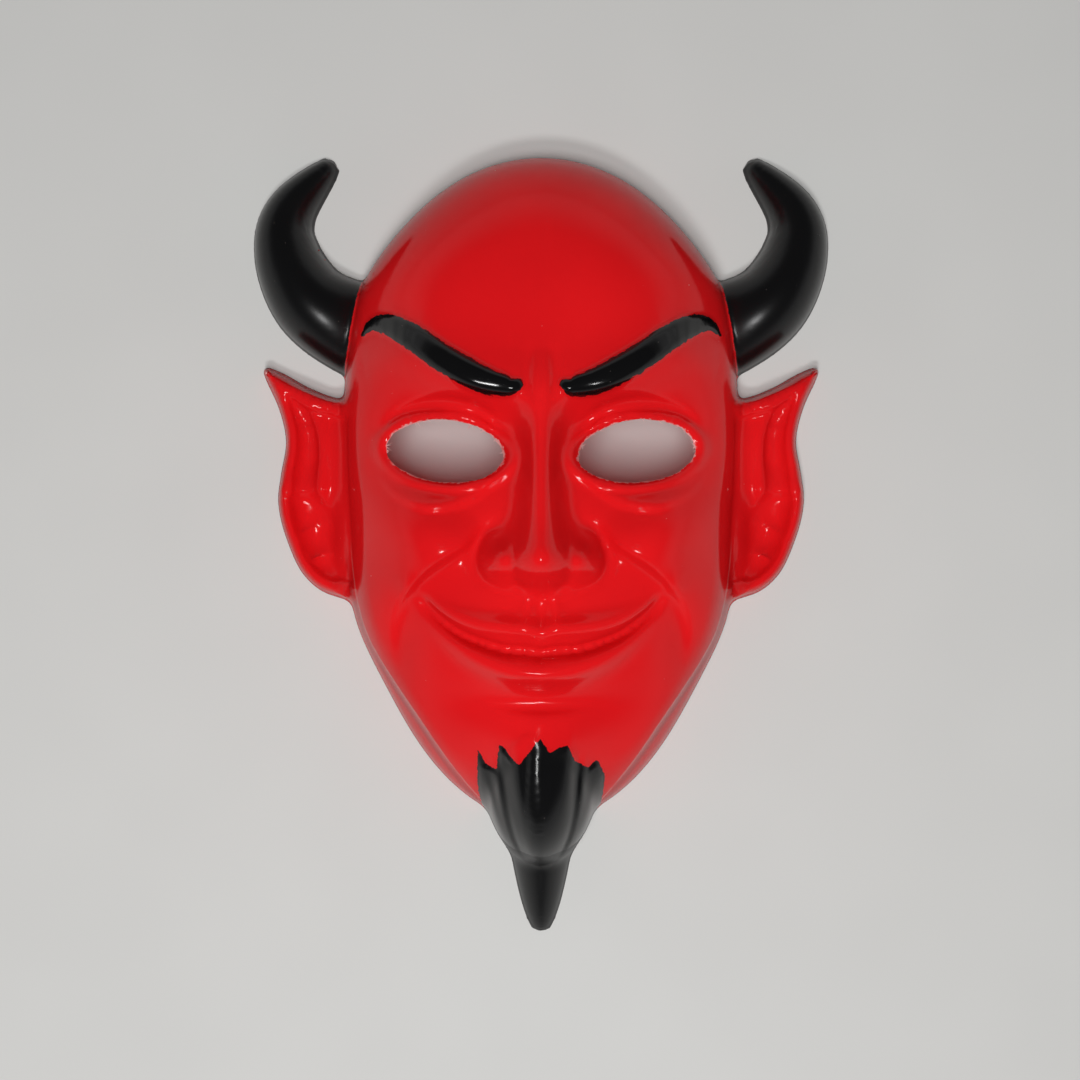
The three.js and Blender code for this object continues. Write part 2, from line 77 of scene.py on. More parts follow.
# Head
HEAD_HALF = 76.0  # half its width, at its widest level
FULLER = [(-28, 24, 0.06), (98, 22, 0.045)]  # levels where it is wider still: y, reach up and down, share
LEVEL = 45.0  # y of the widest level
DOME = 104.0  # from the widest level up to the top of the dome
JAW = 152.0  # from the widest level down to the chin
CHANGE = 40.0  # how gradually the jaw's curve turns into the dome's
DEPTH = 62.0  # height of the plain shell over the rim
FLATNESS = 1.4  # how flat the front stays before it rolls over to the sides
SHIELD = 2.15  # 2 would make the outline an ellipse above and below the level
EYE = Sizes(x=35.0, y=34.0, half=21.5, high=11.3, turn=0.1)
LID = Sizes(height=2.8, at=1.13, width=0.14)

# Horns, ears and goatee
HORN = Sizes(
    root=20.2, high=30.0, full=0.6, tip=0.07, round=0.03, sunk=0.5, thin=0.3,
    path=[(52, 79), (72, 84), (89, 94.5), (98.4, 112.5), (97, 129), (80, 149)],
)
EAR = Sizes(
    rim=13.0, round=4.0, edge=3.5, slope=5.0, dip=6.0, lift=9.0, lift_from=82.0, lift_over=12.0,
    path=[(60, 56.5), (77, 56), (89, 59.8), (99.5, 65.5), (106.6, 68.2), (106.4, 64.8), (101, 52.5),
        (98.4, 40), (100.4, 27), (101.4, 16), (98.4, 3), (91.5, -11.5), (80, -19.3), (62, -19), (56, 20)],
)
TUFT = Sizes(
    y=-66.0, above=8.0, below=58.0, half=24.8, high=54.0, lock=1.1, groove=1.7,
    shift=0.02, fade_in=0.35, round_above=2.4, round_below=2.4, flatness=1.25, gather=0.05,
)
TAIL = Sizes(start=-96.0, end=-150.0, half=14.4, high=27.0, full=(0.5, 0.55), ridge=1.25, thin=0.3)

# Ridges and grooves of the face, for the side where x is positive.
# Rows: x, y, height, width on the left of the run, width on its right.
BROW = [(8.5, 57, 2.2, 2.2, 2), (12, 56.2, 3.2, 4, 3.2), (22, 59, 3.4, 5.2, 4.4), (35, 66.5, 3.4, 5.2, 4.6),
    (47, 75.2, 3, 4.8, 4.4), (56, 80.6, 2.6, 4, 3.7), (62.5, 81.6, 1.6, 2.7, 2.5), (67, 78.5, 0.3, 0.6, 0.6)]
STROKES = {
    "brow bone": [(0, 58, 3, 12, 8), (14, 55, 5.5, 12, 7), (32, 60, 6.5, 13, 7), (50, 69, 5, 12, 8),
        (66, 66, 0, 9, 8)],
    "lid fold": [(13, 40, 0, 1.4, 2.2), (21, 49, -2.2, 1.5, 3), (36, 52.5, -2.6, 1.6, 3.4),
        (52, 48.5, -1.8, 1.6, 3), (61, 39, 0, 1.6, 2.4)],
    "eye bag": [(15, 25, 0, 5, 1.6), (26, 17, 2.6, 6, 1.5), (40, 14, 3, 7, 1.6), (53, 19.5, 1.8, 6, 1.8),
        (61, 30, 0, 5, 2.2)],
    "nose tip groove": [(8, 2, 0, 2.4, 2.4), (10.6, -3.5, -1.5, 2.4, 2.4), (10, -10.5, -1.5, 2.2, 2.2),
        (7.5, -15, 0, 1.8, 1.8)],
    "wing groove": [(12, 9, 0, 2.4, 2), (20.5, 4.5, -2, 2.8, 2), (23.6, -4, -2.6, 3, 2),
        (21.6, -11.5, -2, 2.6, 2), (15.5, -15.5, -1.2, 2.2, 2), (9, -16.5, 0, 2, 2)],
    "smile fold": [(21, 7, 0, 9, 2.2), (30, -0.5, 4, 12, 2.4), (41.5, -8, 5.8, 13, 2.6),
        (51, -18, 5.2, 12, 2.8), (56, -31, 3, 10, 3), (55, -47, 0, 8, 3)],
    "upper lip": [(0, -31, 3.4, 4.2, 3), (6, -29.8, 4.4, 3.8, 3.2), (13, -29.2, 4.6, 3.8, 3.4),
        (24, -27.6, 3.8, 3.8, 3.2), (35, -23.4, 2, 3.2, 2.6), (42, -18.5, 0, 2, 2)],
    "lower lip": [(0, -46.4, 6, 5, 4.4), (12, -45, 5.6, 5, 4.2), (25, -39.6, 4, 4.4, 3.6),
        (35.5, -31, 1.6, 3, 2.8), (42, -22.5, 0, 2, 2)],
    "mouth line": [(0, -38.6, -4.8, 2, 2.2), (6, -37.6, -4.8, 2, 2.2), (14, -37, -4.8, 2, 2.2),
        (28, -32.4, -4.6, 2, 2.2), (38, -25.2, -3.8, 2, 2.2), (45.5, -16.5, 0, 1.8, 2)],
    "chin fold": [(0, -62, 1.3, 1.6, 4), (12, -61, 1.1, 1.6, 4), (22, -57.5, 0, 1.6, 4)],
    "side edge": [(66, 90, 0, 1.8, 9), (71, 68, 2.2, 1.8, 9), (72.5, 45, 2.6, 1.8, 10),
        (72.4, 20, 3.4, 1.8, 11), (71.6, -6, 5, 1.7, 12), (66.9, -29, 6.6, 1.7, 13),
        (59.8, -43.6, 6.8, 1.7, 13), (45.5, -63.9, 6.4, 1.7, 12), (33.6, -82, 5, 1.7, 9),
        (22.3, -97.7, 0, 1.6, 6)],
    "frown": [(2.2, 50, 0, 1.4, 1.6), (4.4, 56, -1.8, 1.5, 2.4), (4.8, 63, -1.8, 1.5, 2.6),
        (3.4, 73, 0, 1.6, 2.4)],
}
# Soft swellings and hollows. Rows: x, y, half width, half height, height, turn in radians.
MOUNDS = {
    "socket": (34, 36, 25, 17, -9.5, 0), "inner socket": (16, 40, 8, 13, -5.5, 0),
    "nose wing": (15, -5.2, 6.4, 7.4, 9.2, 0.45), "nostril": (7.4, -14.6, 3, 1.6, -2, 0.25),
    "cheek": (47, 6, 19, 14, 8.5, 0.25), "mouth corner": (47.5, -15.5, 4, 5.5, 1.6, -0.6),
    "lip column": (5.2, -23, 2.6, 6, 1.3, 0.12), "under cheek": (55, -38, 10, 20, -3.5, 0.3),
    "temple": (62, 74, 15, 24, -3.5, 0), "forehead": (24, 104, 26, 22, 2, 0),
}
MIDDLE_MOUNDS = {
    "nose ball": (0, -4.5, 9.5, 7.5, 2.6, 0), "mouth": (0, -37, 36, 24, 8.5, 0),
    "under lip": (0, -56, 22, 6, -3.6, 0), "lip groove": (0, -22.5, 2.8, 6.5, -1.6, 0),
    "chin": (0, -73, 20, 12, 8, 0),
}
# The nose's ridge line from its base up to the brow. Rows: y, height, half width.
NOSE = [(-24, 0, 7), (-19, 1.4, 8), (-15.5, 6.5, 9.4), (-12, 14.6, 10.6), (-8.5, 20.4, 11.4), (-4, 23, 11.2),
    (3, 21.8, 9.4), (14, 18, 7.4), (30, 12.8, 6.3), (46, 7.5, 7.2), (58, 3, 8.8), (70, 0, 10)]
EAR_STROKES = {
    "inner step": [(103, 61.5, 0, 1.8, 3), (98, 58.6, 2, 2, 4), (91.5, 54.8, 4, 2.2, 6),
        (87.1, 49.5, 5.2, 2.2, 8), (84.6, 42, 5.6, 2.2, 9), (84, 34, 5.6, 2.2, 9), (84.6, 25, 5, 2.2, 9),
        (83.6, 19, 4, 2.4, 9), (79, 12, 1.5, 3, 8), (76, 5, 0, 3, 6)],
    "cross fold": [(101, 22.5, 0, 2, 7), (97, 20.6, 2.2, 2, 7), (91, 20.8, 2.6, 2, 7), (86, 20, 2, 2, 6),
        (82, 17.5, 0, 2, 5)],
}
EAR_MOUNDS = [(88, 4, 8, 11, -2.5, 0.3), (76, 3, 5, 15, 2.5, 0)]

# Finer relief. Rows as above.
EAR_BUMPS = [(86.5, 8, 2, 2.6, 1.4, 0.4), (91.6, 3.6, 1.5, 3.6, 1.5, 0.3), (84, -3.4, 2, 1.3, 1.2, 0)]
FLAP = [(-10, -76, 1.3, 3, 3), (-4.6, -71, 1.3, 3, 3)]  # a flat between two of the goatee's spikes

# Powers with which strokes fall off to their sides: near 1 is a sharp crest, 2 a soft one, more a flat top
SOFT, CRISP, NOSE_FALL, BROW_FALL, FLAP_FALL = 2.0, 1.2, 2.2, 5.0, 6.0
STROKE_REACH = 3.2  # past this many of its widths, a stroke is left out
LEAST_WIDTH = 0.05  # of a stroke
BEARD_RISE = 1.6  # how far inside its painted outline the goatee's edge stands at its full height
RELIEF_END = 1.02  # girth at which the face's relief has faded out
RELIEF_FADE = 0.25  # over how much of the girth it fades

# The goatee's painted outline: a jagged top edge from left to right, then down its right side and up its
# left. Rows: x, y.
BEARD_TOP = [(-23.8, -88), (-23.2, -74.5), (-20.4, -80.5), (-16.4, -82.4), (-15.2, -71.6), (-12, -75.4),
    (-8.2, -80.2), (-4.2, -74.6), (-0.6, -69.2), (3.2, -75), (6.2, -73.2), (9.8, -72.4), (12.6, -79),
    (17.4, -81.8), (20.6, -78.4), (23.6, -85)]
BEARD_SIDE = [(23.6, -92), (22.4, -101), (19.2, -110), (14.8, -118), (12.2, -122), (11.5, -128), (8.2, -138),
    (4.4, -147), (0, -153)]
BEARD_LEVEL = -62  # the goatee is all below this y
BEARD_AWAY = 9.0  # what counts as the distance to its paint far from it

# Making the sheet
ROUGH_CUTS = 48  # divisions of the rough block for the head
SKIRT = 6.0  # how far the rough forms reach below the trim plane
SETTLE = 0.002  # a corner closer to the form than this stays where it is
STEP_LIMIT = 1.5  # the furthest that a corner moves in one step
LEAST_SLOPE = 0.05  # the least square of a slope that a step is worked out with
EPSILON = 0.05  # step over which slopes are measured
SHARE_STEP = 0.001  # step along a path over which its run is measured
CLOSING = 0.12  # how soon the ends of a swept block close
ROUGH_TAIL = (0.6, 0.5)  # powers with which the rough tail narrows and sinks
SETTLE_ROUNDS = (7, 4)  # before the mesh is smoothed, and after
SMOOTH_ROUNDS = 3
TIPS = [(0, TAIL.end), HORN.path[-1], EAR.path[4]]  # x, y of the tips, where the mesh is finer
TIP_REACH = 7.0  # how far round a tip it is finer
TIP_ROUNDS = 5  # how often the tips are smoothed once more
WELD = 0.08  # corners closer than this become one
INSIDE_CUT = 0.75  # share of the faces inside that is taken out
FLAT = 0.01  # a corner's height over the trim plane, and a wall's lean, count as none below this
# Finer locks of the goatee: the sharp grooves beside its middle lock, and the small locks along its top
FINE_LOCKS = Sizes(
    cut=1.0, wide=0.07, period=0.31, height=0.45, least=0.3, start=-104.0, over=16.0,
    sway=0.05, waves=(4.3, 9.1), lean=23.0, bend=1.6,
)


def ease(t):
    """Runs smoothly from 0 to 1 as t does."""
    t = np.clip(t, 0.0, 1.0)
    return t * t * (3.0 - 2.0 * t)


def spline(rows, steps):
    """A smooth curve through rows of numbers."""
    rows = np.array(rows, float)
    rows = np.vstack([2 * rows[0] - rows[1], rows, 2 * rows[-1] - rows[-2]])
    out = []
    for a, b, c, d in zip(rows, rows[1:], rows[2:], rows[3:]):
        for t in np.arange(steps) / steps:
            out.append(0.5 * (2 * b + (c - a) * t + (2 * a - 5 * b + 4 * c - d) * t ** 2
                              + (3 * b - a - 3 * c + d) * t ** 3))
    return np.array(out + [rows[-2]])


def off_run(a, b, x, y):
    """The run from a to b, the share of it up to the place nearest each point, and the steps from there."""
    run = b[:2] - a[:2]
    t = np.clip(((x - a[0]) * run[0] + (y - a[1]) * run[1]) / max(run @ run, 1e-12), 0, 1)
    return run, t, x - a[0] - t * run[0], y - a[1] - t * run[1]


def nearest_on(path, x, y):
    """Distance to a path, positive on the left of its run, and its other columns at the nearest place."""
    nearest = np.full(x.shape, np.inf)
    side = np.ones(x.shape)
    columns = np.zeros((path.shape[1] - 2,) + x.shape)
    for a, b in zip(path[:-1], path[1:]):
        run, t, dx, dy = off_run(a, b, x, y)
        square = dx * dx + dy * dy
        closer = square < nearest
        nearest = np.where(closer, square, nearest)
        side = np.where(closer, np.where(run[0] * dy - run[1] * dx >= 0, 1.0, -1.0), side)
        for k in range(len(columns)):
            columns[k] = np.where(closer, a[k + 2] + t * (b[k + 2] - a[k + 2]), columns[k])
    return np.sqrt(nearest) * side, columns


def stroke(path, x, y, power=SOFT):
    """Height that a ridge or groove adds."""
    reach = STROKE_REACH * path[:, 3:].max()
    low, high = path[:, :2].min(0) - reach, path[:, :2].max(0) + reach
    near = (x > low[0]) & (x < high[0]) & (y > low[1]) & (y < high[1])
    out = np.zeros(x.shape)
    if near.any():
        distance, (height, left, right) = nearest_on(path, x[near], y[near])
        width = np.maximum(np.where(distance > 0, left, right), LEAST_WIDTH)
        out[near] = height * np.exp(-np.abs(distance / width) ** power)
    return out


def in_oval(x, y, middle_x, middle_y, half_x, half_y, turn):
    """Places across and along a turned oval: 1 at its ends."""
    dx, dy = x - middle_x, y - middle_y
    return (cos(turn) * dx + sin(turn) * dy) / half_x, (cos(turn) * dy - sin(turn) * dx) / half_y


def mound(row, x, y):
    """Height that a soft swelling adds."""
    *oval, height, turn = row
    u, v = in_oval(x, y, *oval, turn)
    return height * np.exp(-u * u - v * v)


def outline_distance(ring, x, y):
    """Distance to a closed outline, negative inside it."""
    nearest = np.full(x.shape, np.inf)
    inside = np.zeros(x.shape, bool)
    for a, b in zip(ring, np.roll(ring, -1, 0)):
        run, _, dx, dy = off_run(a, b, x, y)
        nearest = np.minimum(nearest, dx * dx + dy * dy)
        if a[1] != b[1]:
            inside ^= ((a[1] > y) != (b[1] > y)) & (x < a[0] + run[0] * (y - a[1]) / run[1])
    return np.sqrt(nearest) * np.where(inside, -1.0, 1.0)


FACE_STROKES = [(spline(rows, 6), CRISP if name == "side edge" else SOFT) for name, rows in STROKES.items()]
BROW_PATH = spline(BROW, 8)
EAR_OUTLINE = spline(EAR.path + EAR.path[:1], 6)[:-1]
EAR_FOLDS = [spline(rows, 6) for rows in EAR_STROKES.values()]
CREASE_PATH = spline(STROKES["side edge"], 8)[:, :2]
FLAP_PATH = np.array(FLAP, float)
BEARD_OUTLINE = np.array(BEARD_TOP + BEARD_SIDE + [(-x, y) for x, y in BEARD_SIDE[-2::-1]], float)
NOSE_ROWS = spline(NOSE, 8)


def with_share(path):
    """The path with a third column: the share of its length up to each point."""
    lengths = np.r_[0, np.cumsum(np.linalg.norm(np.diff(path, axis=0), axis=1))]
    return np.column_stack([path, lengths / lengths[-1]])


HORN_PATH = with_share(spline(HORN.path, 10))
TAIL_PATH = with_share(np.array([(0, TAIL.start), (0, TAIL.end)], float))


def brow_distance(x, y):
    """Distance to the edge of a brow's paint, negative inside it."""
    distance, (_, left, right) = nearest_on(BROW_PATH, np.abs(x), y)
    return np.abs(distance) - np.where(distance > 0, left, right)


def beard_distance(x, y):
    """Distance to the edge of the goatee's paint, negative inside it."""
    out = np.full(x.shape, BEARD_AWAY)
    low = y < BEARD_LEVEL
    out[low] = outline_distance(BEARD_OUTLINE, x[low], y[low])
    return out


def eye_radius(x, y):
    """1 on the edge of an eye hole, less inside it."""
    return np.hypot(*in_oval(np.abs(x), y, *vars(EYE).values()))


def relief(x, y, beard):
    """What the face's relief adds to the plain shell. The goatee's edge stands beard over the chin."""
    side = np.abs(x)
    z = stroke(BROW_PATH, side, y, BROW_FALL)
    for path, power in FACE_STROKES:
        z += stroke(path, side, y, power)
    for row in MOUNDS.values():
        z += mound(row, side, y)
    for row in MIDDLE_MOUNDS.values():
        z += mound(row, x, y)
    z += LID.height * np.exp(-(((eye_radius(x, y) - LID.at) / LID.width) ** 2))
    ridge = np.interp(y, NOSE_ROWS[:, 0], NOSE_ROWS[:, 1])
    half = np.interp(y, NOSE_ROWS[:, 0], NOSE_ROWS[:, 2])
    z += ridge * np.exp(-(side / half) ** NOSE_FALL)
    if beard:
        z += stroke(FLAP_PATH, x, y, FLAP_FALL) + beard * ease(-beard_distance(x, y) / BEARD_RISE)
    return z


def relief_share(around):
    """How much of the relief is left towards the head's outline, where the girth is 1."""
    return ease((RELIEF_END - around) / RELIEF_FADE)


def share_up(y):
    """How far up the head a level is: -1 at the chin, 1 at the top of the dome."""
    up = y - LEVEL
    return up / (JAW + (DOME - JAW) * (1 + np.tanh(up / CHANGE)) / 2)


def head_half(y):
    """Half the width that the head would have at a level if its outline didn't close there."""
    more = sum(share * np.exp(-((y - level) / reach) ** 2) for level, reach, share in FULLER)
    return HEAD_HALF * (1 + more)


def girth(x, y):
    """1 on the head's outline, less inside it."""
    return (x / head_half(y)) ** 2 + np.abs(share_up(y)) ** SHIELD


# Each form is a function that is negative inside, 0 on the surface and positive outside.
def head_form(x, y, z, beard):
    around = girth(x, y)
    over = np.maximum(z - relief(x, y, beard) * relief_share(around), 0)
    return around ** FLATNESS + (over / DEPTH) ** 2 - 1


def horn_taper(share):
    """How thick a horn is along its length: 1 at its root. Its tip is rounded off."""
    taper = (1 - HORN.tip) * np.clip(1 - share, 0, 1) ** HORN.full
    return taper + HORN.tip * np.clip((1 - share) / HORN.round, 0, 1)


def horn_high(share):
    """Height of a horn. It stands highest a little way out from the head."""
    return HORN.high * horn_taper(share) * (1 - np.clip(1 - share / HORN.sunk, 0, 1) ** 2)


def horn_form(x, y, z, beard):
    distance, (share,) = nearest_on(HORN_PATH, np.abs(x), y)
    half = np.maximum(HORN.root * horn_taper(share), HORN.thin)
    high = np.maximum(horn_high(share), HORN.thin)
    return (distance / half) ** 2 + (np.maximum(z, 0) / high) ** 2 - 1


def ear_form(x, y, z, beard):
    side = np.abs(x)
    inside = -outline_distance(EAR_OUTLINE, side, y)
    height = EAR.rim + sum(stroke(path, side, y) for path in EAR_FOLDS)
    height -= EAR.dip * ease((inside - EAR.edge) / EAR.slope)
    height += EAR.lift * ease((EAR.lift_from - side) / EAR.lift_over)
    for row in EAR_MOUNDS + EAR_BUMPS:
        height += mound(row, side, y)
    wall = np.maximum(EAR.round - inside, 0) / EAR.round
    return wall ** 2 + (np.maximum(z, 0) / height) ** 2 - 1


def tuft_form(x, y, z, beard):
    up = y - TUFT.y
    share = up / np.where(up > 0, TUFT.above, TUFT.below)
    bow = np.abs(share) ** np.where(up > 0, TUFT.round_above, TUFT.round_below)
    around = (x / TUFT.half) ** 2 + bow
    down = np.clip(-up / TUFT.below, 0, 1)
    gather = np.sqrt(np.maximum(1 - down ** TUFT.round_below, TUFT.gather))
    across = x / (TUFT.half * gather) + TUFT.shift
    (slow, quick), sway = FINE_LOCKS.waves, FINE_LOCKS.sway
    uneven = sway * np.sin(slow * across + y / FINE_LOCKS.lean) + 0.5 * sway * np.sin(quick * across + 1)
    locks = TUFT.groove * np.cos(tau * (across + uneven) / TUFT.lock)
    beside = (np.abs(across + uneven) - TUFT.lock / 2) / FINE_LOCKS.wide
    locks -= FINE_LOCKS.cut * np.exp(-beside ** 2)
    fine = FINE_LOCKS.height * (FINE_LOCKS.least + ease((y - FINE_LOCKS.start) / FINE_LOCKS.over))
    locks += fine * np.cos(tau * (across + FINE_LOCKS.bend * uneven) / FINE_LOCKS.period)
    over = z - locks * ease((1 - around) / TUFT.fade_in)
    return around ** TUFT.flatness + (np.maximum(over, 0) / TUFT.high) ** 2 - 1


def tail_form(x, y, z, beard):
    distance, (share,) = nearest_on(TAIL_PATH, x, y)
    left = np.clip(1 - share, 0, 1)
    half = TAIL.half * left ** TAIL.full[0] + TAIL.thin
    high = TAIL.high * left ** TAIL.full[1] + TAIL.thin
    return np.abs(distance / half) ** (2 / TAIL.ridge) + (np.maximum(z, 0) / high) ** 2 - 1


# Each form, and over how many millimetres it blends into those before it
FORMS = [(head_form, 0.0), (horn_form, 2.2), (ear_form, 3.0), (tuft_form, 3.0), (tail_form, 2.5)]
FAR_OFF = (3.0, 2.5)  # where a form's value is over the first, its distance is at least the second


def form_distance(form, x, y, z, beard):
    """Distance to one form, negative inside it, and the direction in which it grows."""
    value = form(x, y, z, beard)
    slope = np.stack([form(x + EPSILON, y, z, beard) - value, form(x, y + EPSILON, z, beard) - value,
                      form(x, y, z + EPSILON, beard) - value], 1) / EPSILON
    size = np.maximum(np.linalg.norm(slope, axis=1), 1e-6)
    distance = value / size
    distance = np.where(value > FAR_OFF[0], np.maximum(distance, FAR_OFF[1]), distance)
    return distance, slope / size[:, None]


def mask_distance(points, sizes):
    """Distance to the whole mask, negative inside it, and the direction in which it grows."""
    x, y, z = points.T
    total = direction = None
    for form, blend in FORMS:
        distance, slope = form_distance(form, x, y, z, sizes["beard"])
        if total is None:
            total, direction = distance, slope
            continue
        part = np.clip(0.5 + 0.5 * (total - distance) / blend, 0, 1)
        total = total * (1 - part) + distance * part - blend * part * (1 - part)
        direction = direction * (1 - part)[:, None] + slope * part[:, None]
    low = np.maximum(z, 0) / sizes["flare_high"]
    flare = sizes["flare"] * np.exp(-low ** 2)
    direction[:, 2] += 2 * low / sizes["flare_high"] * flare
    return total - flare, direction


def settled(points, sizes, rounds):
    """The points, moved step by step onto the mask's surface. The bottom of the skirt stays where it is."""
    points = points.copy()
    moving = np.flatnonzero(points[:, 2] > -SKIRT / 2)
    for _ in range(rounds):
        distance, direction = mask_distance(points[moving], sizes)
        step = -(distance / np.maximum((direction ** 2).sum(1), LEAST_SLOPE))[:, None] * direction
        length = np.linalg.norm(step, axis=1)
        points[moving] += step * np.minimum(1, STEP_LIMIT / np.maximum(length, 1e-9))[:, None]
        moving = moving[length > SETTLE]
        if not len(moving):
            break
    return points


# Rough closed blocks, one for each form
def corners(bm):
    """The places of a mesh's corners."""
    return np.array([corner.co for corner in bm.verts], float)


def move_corners(bm, points):
    for corner, point in zip(bm.verts, points):
        corner.co = point


def head_block():
    """A cube, blown up to a ball and then to the head."""
    bm = bmesh.new()
    ops.create_cube(bm, size=2.0)
    ops.subdivide_edges(bm, edges=bm.edges[:], cuts=ROUGH_CUTS, use_grid_fill=True)
    ball = np.tan(corners(bm) * pi / 4)
    ball /= np.linalg.norm(ball, axis=1)[:, None]
    angle = np.arctan2(ball[:, 1], ball[:, 0])
    around = np.hypot(ball[:, 0], ball[:, 1]) ** (2 / FLATNESS)
    levels = np.linspace(LEVEL - JAW, LEVEL + DOME, 2000)
    up = np.sign(ball[:, 1]) * (np.sqrt(around) * np.abs(np.sin(angle))) ** (2 / SHIELD)
    y = np.interp(up, share_up(levels), levels)
    x = head_half(y) * np.sqrt(around) * np.cos(angle)
    top = DEPTH * ball[:, 2] + relief(x, y, 0) * relief_share(around)
    z = np.where(ball[:, 2] > 0, top, np.maximum(DEPTH * ball[:, 2], -SKIRT))
    move_corners(bm, np.column_stack([x, y, z]))
    return bm


def swept_block(path, half, high):
    """A ball, drawn out along a path."""
    def place(at):
        return np.array([np.interp(at, path[:, 2], path[:, k]) for k in (0, 1)])

    bm = bmesh.new()
    ops.create_uvsphere(bm, u_segments=20, v_segments=40, radius=1.0)
    ball = corners(bm)
    share = np.arccos(np.clip(-ball[:, 2], -1, 1)) / pi
    turn = np.arctan2(ball[:, 1], ball[:, 0])
    ends = np.clip(np.sin(share * pi) / CLOSING, 0, 1)
    x, y = place(share)
    run_x, run_y = place(share + SHARE_STEP) - place(share - SHARE_STEP)
    out = half(share) * ends * np.cos(turn) / (np.hypot(run_x, run_y) + 1e-9)
    z = np.maximum(high(share) * ends * np.sin(turn), -SKIRT * ends)
    move_corners(bm, np.column_stack([x - run_y * out, y + run_x * out, z]))
    return bm


def horn_block():
    return swept_block(HORN_PATH, lambda s: HORN.root * horn_taper(s), horn_high)


def tail_block():
    return swept_block(TAIL_PATH, lambda s: TAIL.half * np.clip(1 - s, 0, 1) ** ROUGH_TAIL[0],
                       lambda s: TAIL.high * np.clip(1 - s, 0, 1) ** ROUGH_TAIL[1])


def draw_up(bm, height):
    """Makes a flat mesh into a closed block."""
    raised = ops.extrude_face_region(bm, geom=bm.faces[:])["geom"]
    ops.translate(bm, vec=(0, 0, height),
                  verts=[item for item in raised if isinstance(item, bmesh.types.BMVert)])


def ear_block():
    """The ear's outline, drawn up to the height of its rim."""
    bm = bmesh.new()
    bm.faces.new([bm.verts.new((x, y, -SKIRT)) for x, y in EAR_OUTLINE])
    draw_up(bm, SKIRT + EAR.rim - 1)
    return bm


def tuft_block():
    bm = bmesh.new()
    ops.create_uvsphere(bm, u_segments=32, v_segments=32, radius=1.0)
    ball = corners(bm)
    y = TUFT.y + ball[:, 1] * np.where(ball[:, 1] > 0, TUFT.above, TUFT.below)
    z = np.maximum(ball[:, 2] * TUFT.high, -SKIRT)
    move_corners(bm, np.column_stack([ball[:, 0] * TUFT.half, y, z]))
    return bm


def joined_blocks():
    """All the blocks in one mesh, with a mirror image of each horn and ear."""
    whole = bmesh.new()
    for block, paired in ((head_block(), False), (tuft_block(), False), (tail_block(), False),
                          (horn_block(), True), (ear_block(), True)):
        if paired:
            everything = block.verts[:] + block.edges[:] + block.faces[:]
            ops.mirror(block, geom=everything, axis="X", merge_dist=0)
        ops.recalc_face_normals(block, faces=block.faces[:])
        mesh = bpy.data.meshes.new("block")
        block.to_mesh(mesh)
        block.free()
        whole.from_mesh(mesh)
        bpy.data.meshes.remove(mesh)
    return whole


# From rough blocks to a sheet
def linked(name, bm):
    """A new object with this mesh, in the scene."""
    mesh = bpy.data.meshes.new(name)
    bm.to_mesh(mesh)
    bm.free()
    piece = bpy.data.objects.new(name, mesh)
    bpy.context.scene.collection.objects.link(piece)
    return piece


def with_modifier(piece, kind, **settings):
    """Gives a piece a modifier, and applies it."""
    modifier = piece.modifiers.new(kind.title(), kind)
    for name, value in settings.items():
        setattr(modifier, name, value)
    depsgraph = bpy.context.evaluated_depsgraph_get()
    depsgraph.update()
    mesh = bpy.data.meshes.new_from_object(piece.evaluated_get(depsgraph))
    piece.modifiers.clear()
    piece.data = mesh


def at_tips(bm):
    """The corners round the tips."""
    x, y, _ = np.abs(corners(bm).T)
    near = np.any([np.hypot(x - tip[0], y - abs(tip[1])) < TIP_REACH for tip in TIPS], axis=0)
    return [corner for corner, is_near in zip(bm.verts, near) if is_near]


def finer_tips(bm):
    """Cuts the faces round each tip into smaller ones."""
    near = set(at_tips(bm))
    edges = [edge for edge in bm.edges if near.issuperset(edge.verts)]
    ops.subdivide_edges(bm, edges=edges, cuts=1, use_grid_fill=True)
    ops.triangulate(bm, faces=[face for face in bm.faces if len(face.verts) > 4])


def smoothed(bm, verts, rounds):
    """Evens out the places of some corners."""
    for _ in range(rounds):
        ops.smooth_vert(bm, verts=verts, factor=0.5, use_axis_x=True, use_axis_y=True, use_axis_z=True)


def smooth_form(sizes):
    """The mask as one closed, solid form, its surface an even mesh, finer at the tips."""
    form = linked("form", joined_blocks())
    with_modifier(form, "REMESH", mode="VOXEL", voxel_size=sizes["mesh"], adaptivity=0)
    bm = bmesh.new()
    bm.from_mesh(form.data)
    finer_tips(bm)
    move_corners(bm, settled(corners(bm), sizes, SETTLE_ROUNDS[0]))
    smoothed(bm, bm.verts[:], SMOOTH_ROUNDS)
    move_corners(bm, settled(corners(bm), sizes, SETTLE_ROUNDS[1]))
    smoothed(bm, at_tips(bm), TIP_ROUNDS)
    bm.to_mesh(form.data)
    bm.free()
    return form


def cut_radius(turn, sizes):
    """The knife's path round an eye hole, as a share of the hole's size: never quite even."""
    ragged = sizes["ragged"] / EYE.high
    wander = 0.5 * np.sin(3 * turn + 0.7) + 0.3 * np.sin(7 * turn + 2.1) + 0.2 * np.sin(16 * turn)
    return 1 + ragged * (wander + 0.2 * np.sin(41 * turn + 1.3) * np.sin(5 * turn))


